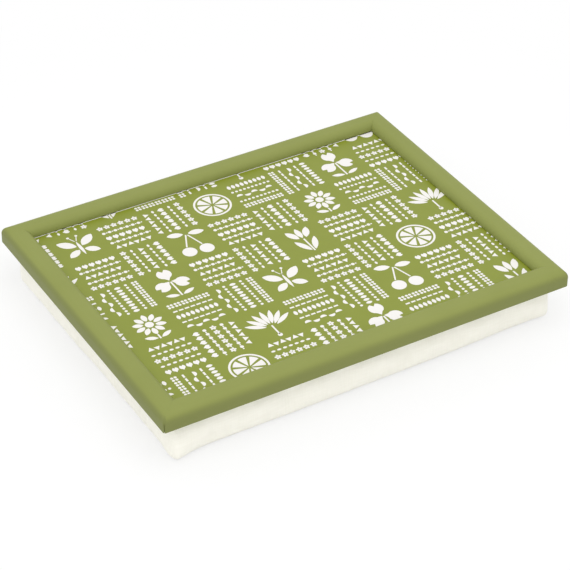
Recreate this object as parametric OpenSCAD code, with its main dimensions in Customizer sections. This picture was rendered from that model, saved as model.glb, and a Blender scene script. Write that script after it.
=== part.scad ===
// Lap tray: four mitred rails frame a printed board, and a bead-filled cushion
// hangs under them on hook-and-loop strips.
// The origin is the bottom centre of the cushion. X runs along the long side
// and Z points up, so the tray stands on the plane z = 0.

/* [Frame] */
// Length of the frame, over its long side
tray_l = 440; // [380:1:520]
// Width of the frame, over its short side
tray_w = 340; // [280:1:420]
// Width of a rail, seen from above
rail_w = 23.5; // [20:0.5:32]
// Height of a rail
rail_h = 18; // [16:0.5:26]
// Radius of the round shoulder along a rail's outer edge
shoulder_r = 8.5; // [4:0.5:9]
// Radius of the roll from a rail's crown down to the board
roll_r = 8; // [3:0.5:9]
// Height of the square edge that the roll leaves above the board
lip_edge = 1; // [0.5:0.1:2]
// Radius that softens the frame's four upright corners
corner_r = 2; // [0.5:0.1:4]
// Width of the rebate that takes the board
rebate_w = 6.5; // [4:0.5:9]

/* [Board] */
// Thickness of the fibreboard
board_t = 5; // [3:0.5:8]
// Thickness of the printed laminate on top of the board
laminate_t = 0.6; // [0.3:0.1:1]
// Thickness of the plain laminate under the board
backing_t = 0.4; // [0.2:0.1:0.8]
// Gap round the board inside the rebate
board_gap = 0.5; // [0.2:0.1:1.5]

/* [Fasteners] */
// Length of each leg of a corner nail
nail_leg = 4.5; // [3:0.5:6]
// Thickness of a corner nail's steel
nail_t = 0.6; // [0.4:0.1:1]
// Height of a corner nail
nail_h = 10; // [6:0.5:13]
// Distance from a rail's outer face to the first nail
nail_start = 5.5; // [4:0.5:6]
// Step from one nail to the next along a mitre
nail_step = 6.5; // [5.5:0.5:7]
// Length of a framer's point
point_l = 16; // [12:1:20]
// Width of a framer's point
point_w = 6; // [4:0.5:8]
// Thickness of a framer's point
point_t = 0.5; // [0.3:0.1:0.8]
// Depth to which a point is driven into its rail
point_drive = 8; // [5:0.5:9]
// Length of a point's sharp end
point_tip = 4; // [2:0.5:5]

/* [Hook and loop] */
// Length of a strip
strip_l = 100; // [60:1:110]
// Width of a strip
strip_w = 25; // [16:1:38]
// Thickness of a hook strip
hook_t = 1.5; // [1.2:0.1:2]
// Thickness of a loop strip
loop_t = 1.8; // [1.5:0.1:2.4]
// Distance from the rebate's wall to a strip
strip_inset = 28; // [20:1:40]
// Radius of a strip's corners
strip_r = 2; // [1:0.5:4]

/* [Cushion] */
// Height of the frame's underside above the plane that the cushion rests on
cushion_h = 42; // [32:1:60]
// Distance that the cushion's sides stand in from the frame's outer faces
cushion_inset = 12; // [8:1:16]
// Radius of the cushion's upright corners
cushion_r = 13; // [11:1:24]
// Thickness of the cushion's cloth
cloth_t = 0.8; // [0.5:0.1:1.2]
// Gap between the cushion and the rails above it
seat_gap = 0.3; // [0.2:0.1:0.6]
// Swell of the cushion's sides
side_belly = 1.2; // [0.5:0.1:4]
// Depth to which the lower edge is drawn in at the middle of a side
edge_draw = 1.2; // [0:0.1:4]
// Rise of the lower edge at the middle of a side
edge_lift = 1.2; // [0:0.1:4]
// Length by which the lower corners stand out as soft ears
ear_out = 1.5; // [0:0.1:3]
// Radius of the lower edge
edge_r = 5; // [3:0.5:8]
// Depth of the underside's crown, which the resting plane presses flat
crown_flat = 0.5; // [0.3:0.1:1]
// Gap between the beads and the cloth
fill_gap = 0.2; // [0.1:0.1:0.5]

/* [Hidden] */

$fn = 96;
// Length by which a cut runs past the solid that it opens
overrun = 1;

paint_green = "#969e5e";
print_green = "#97a051";
fibre_brown = "#a88a64";
backing_cream = "#e4ddc8";
cloth_cream = "#f3f1e4";
tape_white = "#e9e6dc";
bead_white = "#fbfbf8";
nail_steel = "#9b9da0";

// Heights above the resting plane
frame_z = cushion_h;
recess_d = hook_t + loop_t - seat_gap;
backing_z = frame_z + recess_d;
board_z = backing_z + backing_t;
laminate_z = board_z + board_t;
cushion_top = frame_z - seat_gap;
band_top = cushion_top - cloth_t;

// Height of the board's stack above the rails' underside
stack_top = recess_d + backing_t + board_t + laminate_t;
// The roll stops where the square edge over the board begins
roll = min(roll_r, rail_h - stack_top - lip_edge);
// Distance from a rail's outer face to the rebate's wall
rebate_wall = rail_w - rebate_w;

board_l = tray_l - 2 * (rebate_wall + board_gap);
board_w = tray_w - 2 * (rebate_wall + board_gap);

// Nails across each mitre
nails_each = 2;
// Places of the points along the long rails and the short rails
long_point_shares = [-0.3, 0, 0.3];
short_point_shares = [-0.22, 0.22];

// Centre of a strip, measured from the tray's centre
strip_x = tray_l / 2 - rebate_wall - strip_inset - strip_l / 2;
strip_y = tray_w / 2 - rebate_wall - strip_inset - strip_w / 2;

cushion_l = tray_l - 2 * cushion_inset;
cushion_w = tray_w - 2 * cushion_inset;
// Half lengths of the cushion's straight sides
straight_x = cushion_l / 2 - cushion_r;
straight_y = cushion_w / 2 - cushion_r;
// Steps along a corner, a long side and a short side of the cushion
arc_steps = 4;
long_steps = 13;
short_steps = 10;
// Rows down a side, and round the lower edge
side_rows = 6;
edge_rows = 3;
// Share of the swell that the corners keep
corner_belly_share = 0.4;
// Power that brings the swell below the middle of a side
belly_low_share = 0.7;
// Power that keeps the soft ears close to the corners
ear_power = 6;
// Rows under the cushion, as shares of the way to its centre
under_shares = [0.06, 0.14, 0.24, 0.36];
// Share of the way to the centre over which the crown comes down
crown_share = 0.45;

// Plan of a sheet with round corners, centred
module rounded_plan(length, width, r) {
    square([length - 2 * r, width], center = true);
    square([length, width - 2 * r], center = true);
    for (x = [-1, 1], y = [-1, 1])
        translate([x * (length / 2 - r), y * (width / 2 - r)]) circle(r);
}

// What a round of radius r takes off a square corner whose tip is the origin
module corner_waste(r) {
    difference() {
        translate([-r, -r]) square(r + overrun);
        translate([-r, -r]) circle(r);
    }
}

// Section of a rail: the outer face stands at x = 0 and the underside at y = 0
module rail_section() {
    difference() {
        square([rail_w, rail_h]);
        translate([0, rail_h]) mirror([1, 0]) corner_waste(shoulder_r);
        translate([rail_w, rail_h]) corner_waste(roll);
        translate([rebate_wall, -overrun]) square([rebate_w + overrun, stack_top + overrun]);
    }
}

// A rail along X with both ends mitred, its outer corner at the origin
module mitred_rail(length) {
    intersection() {
        rotate([90, 0, 90]) linear_extrude(length) rail_section();
        linear_extrude(rail_h)
            polygon([[0, 0], [length, 0], [length - rail_w, rail_w], [rail_w, rail_w]]);
    }
}

// A rail in its place, with pockets for the nails and slots for the points
module frame_rail(turn, length, depth) {
    color(paint_green)
        difference() {
            intersection() {
                translate([0, 0, frame_z])
                    rotate([0, 0, turn])
                        translate([-length / 2, -depth / 2, 0])
                            mitred_rail(length);
                translate([0, 0, frame_z])
                    linear_extrude(rail_h) rounded_plan(tray_l, tray_w, corner_r);
            }
            nail_shapes();
            point_shapes();
        }
}

module rail_front() {
    frame_rail(0, tray_l, tray_w);
}

module rail_right() {
    frame_rail(90, tray_w, tray_l);
}

module rail_back() {
    frame_rail(180, tray_l, tray_w);
}

module rail_left() {
    frame_rail(270, tray_w, tray_l);
}

// Corner nails: a leg in each of the two rails, driven up from below
module nail_shapes() {
    for (x = [0, 1], y = [0, 1], row = [0 : nails_each - 1])
        mirror([x, 0, 0])
            mirror([0, y, 0])
                translate([-tray_l / 2, -tray_w / 2, frame_z])
                    translate((nail_start + row * nail_step) * [1, 1, 0])
                        linear_extrude(nail_h) {
                            square([nail_leg, nail_t]);
                            square([nail_t, nail_leg]);
                        }
}

module corner_v_nails() {
    color(nail_steel) nail_shapes();
}

// Framer's points along one rail: flat tabs, tip outwards, under the board
module rail_points(turn, length, depth, shares) {
    rotate([0, 0, turn])
        for (share = shares)
            translate([share * length, rebate_wall - point_drive - depth / 2, backing_z - point_t])
                linear_extrude(point_t)
                    polygon([
                        [0, 0], [point_w / 2, point_tip], [point_w / 2, point_l],
                        [-point_w / 2, point_l], [-point_w / 2, point_tip]
                    ]);
}

module point_shapes() {
    rail_points(0, tray_l, tray_w, long_point_shares);
    rail_points(90, tray_w, tray_l, short_point_shares);
    rail_points(180, tray_l, tray_w, long_point_shares);
    rail_points(270, tray_w, tray_l, short_point_shares);
}

module framer_points() {
    color(nail_steel) point_shapes();
}

// One layer of the board, between the walls of the rebate
module board_layer(z, thickness) {
    translate([-board_l / 2, -board_w / 2, z]) cube([board_l, board_w, thickness]);
}

module printed_laminate() {
    color(print_green) board_layer(laminate_z, laminate_t);
}

module tray_board() {
    color(fibre_brown) board_layer(board_z, board_t);
}

module backing_laminate() {
    color(backing_cream) board_layer(backing_z, backing_t);
}

// One strip near a corner of the tray: side_x and side_y are -1 or 1
module strip(side_x, side_y, z, thickness) {
    translate([side_x * strip_x, side_y * strip_y, z])
        linear_extrude(thickness) rounded_plan(strip_l, strip_w, strip_r);
}

// The hook strips are glued under the board
module hook_strip(side_x, side_y) {
    color(tape_white) strip(side_x, side_y, backing_z - hook_t, hook_t);
}

// The loop strips are sewn on the cushion
module loop_strip(side_x, side_y) {
    color(tape_white) strip(side_x, side_y, cushion_top, loop_t);
}

// Entries of the cushion's outline, anticlockwise from above: x, y, the
// outward direction, and 0 at a side's ends to 1 at its middle
function arc_entries(side_x, side_y, start) = [
    for (step = [0 : arc_steps])
        let (turn = start + 90 * step / arc_steps)
            [
                side_x * straight_x + cushion_r * cos(turn),
                side_y * straight_y + cushion_r * sin(turn),
                turn, 0
            ]
];

function side_entries(first, last, turn, steps) = [
    for (step = [1 : steps - 1])
        let (way = step / steps, place = first + way * (last - first))
            [place.x, place.y, turn, 1 - pow(2 * way - 1, 2)]
];

function long_side(side, turn) = side_entries(
    [side * straight_x, side * cushion_w / 2], [-side * straight_x, side * cushion_w / 2],
    turn, long_steps);

function short_side(side, turn) = side_entries(
    [side * cushion_l / 2, -side * straight_y], [side * cushion_l / 2, side * straight_y],
    turn, short_steps);

outline = concat(
    arc_entries(1, 1, 0), long_side(1, 90),
    arc_entries(-1, 1, 90), short_side(-1, 180),
    arc_entries(-1, -1, 180), long_side(-1, 270),
    arc_entries(1, -1, 270), short_side(1, 0)
);

// How far a side stands out of the outline, at a share of its height
function side_shift(middle, high) =
    side_belly * (corner_belly_share + (1 - corner_belly_share) * middle)
        * sin(180 * pow(high, belly_low_share))
    - edge_draw * middle * pow(1 - high, 2)
    + ear_out * pow(1 - middle, ear_power) * pow(1 - high, 2);

// Three kinds of row, each a depth below the cloth's outer face: up a side,
// round the lower edge, and under the cushion towards its centre
function side_row(high, depth, top) = [
    for (e = outline)
        let (
            out = side_shift(e[3], high) - depth,
            low = edge_lift * e[3] + edge_r
        )
            [e.x + out * cos(e.z), e.y + out * sin(e.z), low + high * (top - low)]
];

function edge_row(turn, depth) = [
    for (e = outline)
        let (
            r = edge_r - depth,
            out = side_shift(e[3], 0) - edge_r + r * cos(turn)
        )
            [
                e.x + out * cos(e.z), e.y + out * sin(e.z),
                edge_lift * e[3] + edge_r - r * sin(turn)
            ]
];

function under_row(inward, depth) =
    let (seam = edge_row(90, 0), fall = sin(90 * min(1, inward / crown_share)))
        [
            for (i = [0 : len(outline) - 1])
                let (lift = edge_lift * outline[i][3])
                    [
                        seam[i].x * (1 - inward), seam[i].y * (1 - inward),
                        max(0, lift - (lift + crown_flat) * fall) + depth
                    ]
        ];

// The rows of a side and its lower edge, from the top down
function side_rows_down(depth, top) = concat(
    [for (row = [side_rows : -1 : 0]) side_row(row / side_rows, depth, top)],
    [for (row = [1 : edge_rows]) edge_row(90 * row / edge_rows, depth)]
);

function reversed(list) = [for (i = [len(list) - 1 : -1 : 0]) list[i]];

function joined(rows) = [for (row = rows) for (place = row) place];

// Triangles between each row and the next, where first to last are rows
function wall_faces(first, last, rows) =
    let (n = len(outline))
        [
            for (j = [first : last], i = [0 : n - 1], half = [0, 1])
                let (
                    k = (j + 1) % rows,
                    next = (i + 1) % n
                )
                    half == 0
                        ? [j * n + i, j * n + next, k * n + next]
                        : [j * n + i, k * n + next, k * n + i]
        ];

// A closed ring, whose rows run round its section and meet themselves
module ring_solid(rows) {
    polyhedron(joined(rows), wall_faces(0, len(rows) - 1, len(rows)));
}

// A closed solid from rows that run from the middle of its top to the middle
// of its bottom
module capped_solid(rows, top_z, bottom_z) {
    n = len(outline);
    count = len(rows);
    top = count * n;
    polyhedron(
        concat(joined(rows), [[0, 0, top_z], [0, 0, bottom_z]]),
        concat(
            wall_faces(0, count - 2, count),
            [for (i = [0 : n - 1]) [top, (i + 1) % n, i]],
            [for (i = [0 : n - 1]) [top + 1, top - n + i, top - n + (i + 1) % n]]
        )
    );
}

module cushion_top_panel() {
    color(cloth_cream)
        translate([0, 0, band_top])
            linear_extrude(cloth_t) rounded_plan(cushion_l, cushion_w, cushion_r);
}

// The band goes round the sides and under the lower edge to its seam
module cushion_side_band() {
    color(cloth_cream)
        ring_solid(concat(
            side_rows_down(0, band_top),
            reversed(side_rows_down(cloth_t, band_top))
        ));
}

module cushion_bottom_panel() {
    inwards = concat([0], under_shares);
    color(cloth_cream)
        capped_solid(
            concat(
                [for (inward = reversed(inwards)) under_row(inward, cloth_t)],
                [for (inward = inwards) under_row(inward, 0)]
            ),
            cloth_t, 0
        );
}

module bead_fill() {
    depth = cloth_t + fill_gap;
    top = band_top - fill_gap;
    color(bead_white)
        capped_solid(
            concat(
                side_rows_down(depth, top),
                [for (inward = under_shares) under_row(inward, depth)]
            ),
            top, depth
        );
}

rail_front();
rail_back();
rail_left();
rail_right();
corner_v_nails();
framer_points();
printed_laminate();
tray_board();
backing_laminate();
hook_strip(-1, -1);  // hook_strip_front_left
hook_strip(1, -1);  // hook_strip_front_right
hook_strip(-1, 1);  // hook_strip_back_left
hook_strip(1, 1);  // hook_strip_back_right
loop_strip(-1, -1);  // loop_strip_front_left
loop_strip(1, -1);  // loop_strip_front_right
loop_strip(-1, 1);  // loop_strip_back_left
loop_strip(1, 1);  // loop_strip_back_right
cushion_top_panel();
cushion_side_band();
cushion_bottom_panel();
bead_fill();
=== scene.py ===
# %% [markdown]
# # A lap tray
#
# The tray is a mitred frame round a printed board, and it stands on a flat
# cushion filled with polystyrene beads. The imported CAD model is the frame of
# reference: places and main sizes are read from it, and every new piece rides
# on one of its two bodies, the tray or the cushion.

import math

import bmesh
import bpy
import numpy as np
from mathutils import Matrix, Quaternion, Vector


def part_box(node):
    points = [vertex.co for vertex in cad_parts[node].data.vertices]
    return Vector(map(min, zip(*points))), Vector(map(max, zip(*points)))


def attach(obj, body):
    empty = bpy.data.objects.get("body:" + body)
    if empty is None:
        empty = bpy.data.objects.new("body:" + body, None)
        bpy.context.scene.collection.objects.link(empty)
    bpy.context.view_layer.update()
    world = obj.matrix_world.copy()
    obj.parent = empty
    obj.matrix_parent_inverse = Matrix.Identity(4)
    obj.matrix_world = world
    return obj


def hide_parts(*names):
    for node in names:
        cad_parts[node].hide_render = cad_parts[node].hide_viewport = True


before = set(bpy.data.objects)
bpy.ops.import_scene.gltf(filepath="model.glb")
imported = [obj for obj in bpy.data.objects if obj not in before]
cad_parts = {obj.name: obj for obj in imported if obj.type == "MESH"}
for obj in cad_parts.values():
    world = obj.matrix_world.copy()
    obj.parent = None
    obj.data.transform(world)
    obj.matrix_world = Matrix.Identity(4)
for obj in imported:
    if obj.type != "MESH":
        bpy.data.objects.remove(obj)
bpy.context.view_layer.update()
MM = 0.001

# %% [markdown]
# The sizes that the pieces share come from the boxes of the CAD nodes. The
# rails give the frame's outer size and heights, and the laminate's top is the
# floor of the well inside them.

# %% Sizes
rail_low, rail_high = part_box("rail_front")
TRAY_L = 2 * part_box("rail_right")[1].x
TRAY_W = -2 * rail_low.y
RAIL_W = rail_high.y - rail_low.y
FRAME_Z, RAIL_TOP = rail_low.z, rail_high.z
WELL_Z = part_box("printed_laminate")[1].z
print("frame and rail, mm", [round(x / MM, 1) for x in (TRAY_L, TRAY_W, RAIL_W)])

# %% [markdown]
# The camera stands at the front left corner, well back and above, as the
# photograph was taken. Its place, the point that it looks at, its slight roll
# and its lens were worked out from the frame's edges, for a square picture. A
# camera turned by hand could be near, but it would bend the mitres' angles.

# %% Camera
CAMERA_PLACE = Vector((-889.3, -1486.5, 1289.6)) * MM
CAMERA_AIM = Vector((-6.8, -18.8, 30.0)) * MM
CAMERA_ROLL = math.radians(-0.631)
CAMERA_LENS_MM = 138.5
SENSOR_MM = 36

view_line = (CAMERA_AIM - CAMERA_PLACE).normalized()
level = view_line.to_track_quat("-Z", "Y")
camera_data = bpy.data.cameras.new("camera")
camera_data.lens = CAMERA_LENS_MM
camera_data.sensor_width = SENSOR_MM
camera = bpy.data.objects.new("camera", camera_data)
camera.matrix_world = (
    Matrix.Translation(CAMERA_PLACE)
    @ (Quaternion(view_line, CAMERA_ROLL) @ level).to_matrix().to_4x4()
)
bpy.context.scene.collection.objects.link(camera)
bpy.context.scene.camera = camera
print("camera", round((CAMERA_AIM - CAMERA_PLACE).length, 2), "m from the tray")


# %% [markdown]
# A few helpers serve every material. Colours are written as sRGB hex values, as
# a paint chart gives them, and are turned to the linear values that the shader
# works with. A node is added with its settings and with what feeds its inputs.
# An input's name has _ for a space, and i0 or i1 is an input by its number.

# %% Colour and node helpers
PLUS = {"operation": "ADD"}
TIMES = {"operation": "MULTIPLY"}
TIMES_PLUS = {"operation": "MULTIPLY_ADD"}
SMOOTHLY = {"interpolation_type": "SMOOTHSTEP"}
COLOURS = {"data_type": "RGBA"}


def linear(code):
    """The linear red, green, blue and alpha of an sRGB hex colour."""
    parts = [int(code[i : i + 2], 16) / 255 for i in (1, 3, 5)]
    return [p / 12.92 if p <= 0.04045 else ((p + 0.055) / 1.055) ** 2.4 for p in parts] + [1]


def feed(tree, node, **inputs):
    """Sets inputs of a node, each to a value or to another node's output."""
    for name, value in inputs.items():
        by_number = name[0] == "i" and name[1:].isdigit()
        socket = node.inputs[int(name[1:]) if by_number else name.replace("_", " ")]
        if isinstance(value, bpy.types.NodeSocket):
            tree.links.new(value, socket)
        else:
            socket.default_value = value


def add(tree, kind, settings=None, **inputs):
    """Adds a node with its own settings and with what feeds its inputs."""
    node = tree.nodes.new("ShaderNode" + kind)
    for name, value in (settings or {}).items():
        setattr(node, name, value)
    feed(tree, node, **inputs)
    return node


def new_material(name):
    """A material with a shader on its output, its node tree and that shader."""
    material = bpy.data.materials.new(name)
    material.use_nodes = True
    tree = material.node_tree
    tree.nodes.clear()
    shader = add(tree, "BsdfPrincipled")
    add(tree, "OutputMaterial", Surface=shader.outputs[0])
    print("material:", name)
    return material, tree, shader


# %% [markdown]
# The studio is a sheet of white paper under a soft white dome, with one large
# soft lamp. To the camera and in reflections, dome and distant paper are plain
# white whatever light they give, so that no horizon shows. That could be done
# with more light, but it would bleach the tray, so the kind of ray decides.

# %% Rays that meet the backdrop
WHITE = [1, 1, 1, 1]


def seen_directly(tree):
    """One for a ray from the camera or off a gloss, and zero for any other."""
    ray = add(tree, "LightPath").outputs
    either = {"operation": "MAXIMUM"}
    return add(tree, "Math", either, i0=ray["Is Camera Ray"], i1=ray["Is Glossy Ray"]).outputs[0]


# %% [markdown]
# The paper keeps the tray's soft shadow. It is softened by some plain white
# near the tray, and between two rings round it the white takes over.

# %% White paper floor
FLOOR_SIZE = 40.0
FLOOR_DROP = 0.2 * MM
SHADOW_RINGS = (0.3, 0.62)
SHADOW_SOFTENED = 0.65


def build_floor():
    bpy.ops.mesh.primitive_plane_add(size=FLOOR_SIZE, location=(0, 0, -FLOOR_DROP))
    floor = bpy.context.active_object
    floor.name = "floor"
    material, tree, shader = new_material("white paper floor")
    feed(tree, shader, Base_Color=linear("#eeeeee"), Roughness=0.9)
    place = add(tree, "TexCoord").outputs["Object"]
    away = add(tree, "VectorMath", {"operation": "LENGTH"}, i0=place)
    near, far = SHADOW_RINGS
    fade = add(tree, "MapRange", SMOOTHLY, Value=away.outputs["Value"], From_Min=near, From_Max=far)
    feed(tree, fade, To_Min=SHADOW_SOFTENED)
    share = add(tree, "Math", TIMES, i0=fade.outputs["Result"], i1=seen_directly(tree))
    white = add(tree, "Emission", Color=WHITE, Strength=1.0)
    paper = add(tree, "MixShader", i0=share.outputs[0], i1=shader.outputs[0], i2=white.outputs[0])
    feed(tree, tree.nodes["Material Output"], Surface=paper.outputs[0])
    floor.data.materials.append(material)


build_floor()

# %% [markdown]
# The dome lights the upright faces, with what the paper throws back. It is a
# little brighter on the left, as in a room with its window on that side.

# %% White dome
DOME_STRENGTH = 0.93
DOME_LEAN = (-0.12, 0.02, 0)


def build_dome():
    world = bpy.data.worlds.new("dome")
    world.use_nodes = True
    bpy.context.scene.world = world
    tree = world.node_tree
    tree.nodes.clear()
    direction = add(tree, "TexCoord").outputs["Generated"]
    lean = add(tree, "VectorMath", {"operation": "DOT_PRODUCT"}, i0=direction, i1=DOME_LEAN)
    level = add(tree, "Math", PLUS, i0=lean.outputs["Value"], i1=DOME_STRENGTH)
    strength = add(tree, "Mix", {"data_type": "FLOAT"}, Factor=seen_directly(tree))
    feed(tree, strength, A=level.outputs[0], B=1.0)
    light = add(tree, "Background", Color=WHITE, Strength=strength.outputs["Result"])
    add(tree, "OutputWorld", Surface=light.outputs[0])
    print("dome strength", DOME_STRENGTH)


build_dome()

# %% [markdown]
# The lamp hangs above the tray and a little in front of it, and makes the faces
# that look up brighter than the sides. It is a wide panel, because a small one
# would give the shadow a hard edge. The Standard view shows colours as written.

# %% Overhead lamp
LAMP_ENERGY = 27.0
LAMP_SIZE = 2.4
LAMP_PLACE = Vector((-0.1, -0.65, 2.55))

lamp_data = bpy.data.lights.new("overhead lamp", "AREA")
lamp_data.energy = LAMP_ENERGY
lamp_data.size = LAMP_SIZE
lamp = bpy.data.objects.new("overhead lamp", lamp_data)
lamp.location = LAMP_PLACE
lamp.rotation_euler = (-LAMP_PLACE).to_track_quat("-Z", "Y").to_euler()
bpy.context.scene.collection.objects.link(lamp)
bpy.context.scene.view_settings.view_transform = "Standard"
print("lamp", LAMP_ENERGY, "W,", round(LAMP_PLACE.length, 2), "m from the tray")


# %% [markdown]
# The modelling helpers keep the operators in order. An operator acts on all
# that is selected, so each step first selects just what it is meant for.

# %% Select
NEAR = 0.01 * MM
SQUARE_ON = 0.9


def object_mode():
    if bpy.context.object and bpy.context.object.mode != "OBJECT":
        bpy.ops.object.mode_set(mode="OBJECT")


def only(piece):
    """Selects one object alone and makes it active."""
    object_mode()
    bpy.ops.object.select_all(action="DESELECT")
    piece.select_set(True)
    bpy.context.view_layer.objects.active = piece


def select(piece, kind="FACE", test=lambda part: True):
    """In edit mode, selects the faces or edges of a piece that pass a test, or all."""
    only(piece)
    bpy.ops.object.mode_set(mode="EDIT")
    bpy.ops.mesh.select_mode(type=kind)
    bpy.ops.mesh.select_all(action="DESELECT")
    mesh = bmesh.from_edit_mesh(piece.data)
    mesh.normal_update()
    for part in mesh.faces if kind == "FACE" else mesh.edges:
        if test(part):
            part.select_set(True)
    mesh.select_flush_mode()
    bmesh.update_edit_mesh(piece.data)


# %% [markdown]
# A piece starts as a block, is changed by operators and modifiers, and in the
# end gets its material, its body and the CAD nodes that it stands for. Its
# object stays at the origin, so that patterns in object space lie still.

# %% Start, change and finish a piece
def block(name, low, high):
    """A box between two corners, with its place in its mesh."""
    low, high = Vector(low), Vector(high)
    bpy.ops.object.select_all(action="DESELECT")
    bpy.ops.mesh.primitive_cube_add(size=1, location=(low + high) / 2, scale=high - low)
    piece = bpy.context.active_object
    piece.name = name
    bpy.ops.object.transform_apply()
    return piece


def apply_modifier(piece, kind, **settings):
    only(piece)
    modifier = piece.modifiers.new(kind.lower(), kind)
    for name, value in settings.items():
        setattr(modifier, name, value)
    bpy.ops.object.modifier_apply(modifier=modifier.name)


def smooth(piece, degrees=30):
    """Shades a piece smooth across all edges but those sharper than an angle."""
    only(piece)
    bpy.ops.object.shade_smooth_by_angle(angle=math.radians(degrees))


def dress(piece, material, body, slot, *stands_for):
    """Gives a finished piece its material, its body and its nodes; the slot is not used."""
    piece.data.materials.clear()
    piece.data.materials.append(material)
    if stands_for:
        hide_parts(*stands_for)
    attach(piece, body)
    print(piece.name, len(piece.data.polygons), "faces")


# %% [markdown]
# Thread and tape repeat one small shape hundreds of times. The shape is
# modelled once and copied, and all its copies are one piece.

# %% Copy a small shape to many places
def scatter(name, model, places):
    """Copies a model to places, each a turn and a point, and removes the model."""
    verts = np.array([vertex.co for vertex in model.data.vertices])
    faces = [tuple(face.vertices) for face in model.data.polygons]
    all_verts, all_faces = [], []
    for turn, point in places:
        start = len(all_verts)
        all_verts.extend(tuple(turn @ vert + point) for vert in verts)
        all_faces.extend(tuple(start + i for i in face) for face in faces)
    bpy.data.objects.remove(model)
    mesh = bpy.data.meshes.new(name)
    mesh.from_pydata(all_verts, [], all_faces)
    piece = bpy.data.objects.new(name, mesh)
    bpy.context.scene.collection.objects.link(piece)
    return piece


# %% [markdown]
# The rails are fibreboard mouldings, sprayed with a satin water-based enamel.
# Spraying leaves a very fine orange peel of cells about a millimetre across,
# which breaks up the gloss. The faces that look outward get painted shade: a
# darker green is mixed into their colour, as if less light fell on them, the
# most on the short sides, which are further out. The shade could follow the
# height, but then the inner slopes would be dark too: it follows how far out a
# face is and how much it looks that way.

# %% Satin enamel
PEEL_CELL = 1.1 * MM
PEEL_DEPTH = 0.05 * MM
CLOUDS_PER_M = 14
# how far out a face must be, looking outward, to take the painted shade
OUTWARD_SHADE_REACH = (110 * MM, 200 * MM)


def satin_enamel():
    material, tree, shader = new_material("satin spray enamel, olive green")
    place = add(tree, "TexCoord").outputs["Object"]
    cloud = add(tree, "TexNoise", Vector=place, Scale=CLOUDS_PER_M, Detail=3.0)
    tint = add(tree, "MapRange", Value=cloud.outputs["Fac"], From_Min=0.3, From_Max=0.7)
    colour = add(tree, "Mix", COLOURS, Factor=tint.outputs["Result"])
    feed(tree, colour, A=linear("#858c4b"), B=linear("#89904f"))
    across = add(tree, "VectorMath", TIMES, i0=place, i1=(1, 1, 0)).outputs["Vector"]
    facing = add(tree, "TexCoord").outputs["Normal"]
    outward = add(tree, "VectorMath", {"operation": "DOT_PRODUCT"}, i0=facing, i1=across)
    painted_shade = add(tree, "MapRange", SMOOTHLY, Value=outward.outputs["Value"])
    feed(tree, painted_shade, From_Min=OUTWARD_SHADE_REACH[0], From_Max=OUTWARD_SHADE_REACH[1])
    # painted shade: the darker green is mixed into the faces that look outward
    shaded_colour = add(tree, "Mix", COLOURS, Factor=painted_shade.outputs["Result"])
    feed(tree, shaded_colour, A=colour.outputs["Result"], B=linear("#7b8149"))
    peel = add(tree, "TexNoise", Vector=place, Scale=1 / PEEL_CELL, Detail=1.0)
    bump = add(tree, "Bump", Height=peel.outputs["Fac"], Strength=0.15, Distance=PEEL_DEPTH)
    feed(tree, shader, Base_Color=shaded_colour.outputs["Result"], Normal=bump.outputs["Normal"])
    feed(tree, shader, Roughness=0.52, IOR=1.45, Specular_IOR_Level=0.2)
    return material


enamel = satin_enamel()

# %% [markdown]
# A rail is a length of picture moulding. It could be a profile swept round the
# frame, but a real one is sawn, so each rail is a piece of its own. It starts as
# a block for the part outside the rebate. The upper half of its inner face is
# extruded to make the lip over the board, and the two long upper edges are
# bevelled with arcs of the real radii. The lip's lower edge is bevelled a
# little, which gives the dark line between rail and board.

# %% Moulding
REBATE_W = 6.5 * MM
SHOULDER_R = 8.5 * MM
ROLL_R = 8.0 * MM
ARC_STEPS = 14
LIP_SHADOW = 0.55 * MM


def round_long_edge(piece, y, z, radius, steps=ARC_STEPS):
    """Bevels one long edge of a moulding with an arc."""

    def there(edge):
        return all(abs(v.co.y - y) < NEAR and abs(v.co.z - z) < NEAR for v in edge.verts)

    select(piece, "EDGE", there)
    bpy.ops.mesh.bevel(offset=radius, segments=steps)


def rail_blank(name, length, depth):
    """A straight moulding along X, on the side of the frame that looks to -Y."""
    outer = -depth / 2
    inner = outer + RAIL_W
    piece = block(name, (-length / 2, outer, FRAME_Z), (length / 2, inner - REBATE_W, RAIL_TOP))
    select(piece)
    bpy.ops.mesh.bisect(plane_co=(0, 0, WELL_Z), plane_no=(0, 0, 1))
    select(
        piece,
        "FACE",
        lambda face: face.normal.y > SQUARE_ON and face.calc_center_median().z > WELL_Z,
    )
    bpy.ops.mesh.extrude_region_move(TRANSFORM_OT_translate={"value": (0, REBATE_W, 0)})
    bpy.ops.mesh.select_all(action="SELECT")
    bpy.ops.mesh.dissolve_limited(angle_limit=math.radians(1))
    round_long_edge(piece, outer, RAIL_TOP, SHOULDER_R)
    round_long_edge(piece, inner, RAIL_TOP, ROLL_R)
    round_long_edge(piece, inner, WELL_Z, LIP_SHADOW, steps=2)
    return piece


# %% [markdown]
# The saw cuts a rail's ends at 45 degrees, and here a plane does the same, which
# is simpler and surer than a boolean. More planes beside it cut nothing off:
# they add loops of edges, whose points the sanding moves.

# %% Mitres
CORNER_R = 2.4 * MM
SANDING_LOOPS = (0.25, 0.5, 0.75, 1)


def mitre_ends(piece, length, depth):
    """Cuts both ends at 45 degrees and adds loops of edges beside each mitre."""
    for side in (-1, 1):
        tip = Vector((side * length / 2, -depth / 2, 0))
        select(piece)
        bpy.ops.mesh.bisect(plane_co=tip, plane_no=(side, 1, 0), use_fill=True, clear_outer=True)
        for part in SANDING_LOOPS:
            select(piece)
            beside = tip - Vector((side * part * CORNER_R, 0, 0))
            bpy.ops.mesh.bisect(plane_co=beside, plane_no=(side, 1, 0))
    object_mode()


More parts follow.
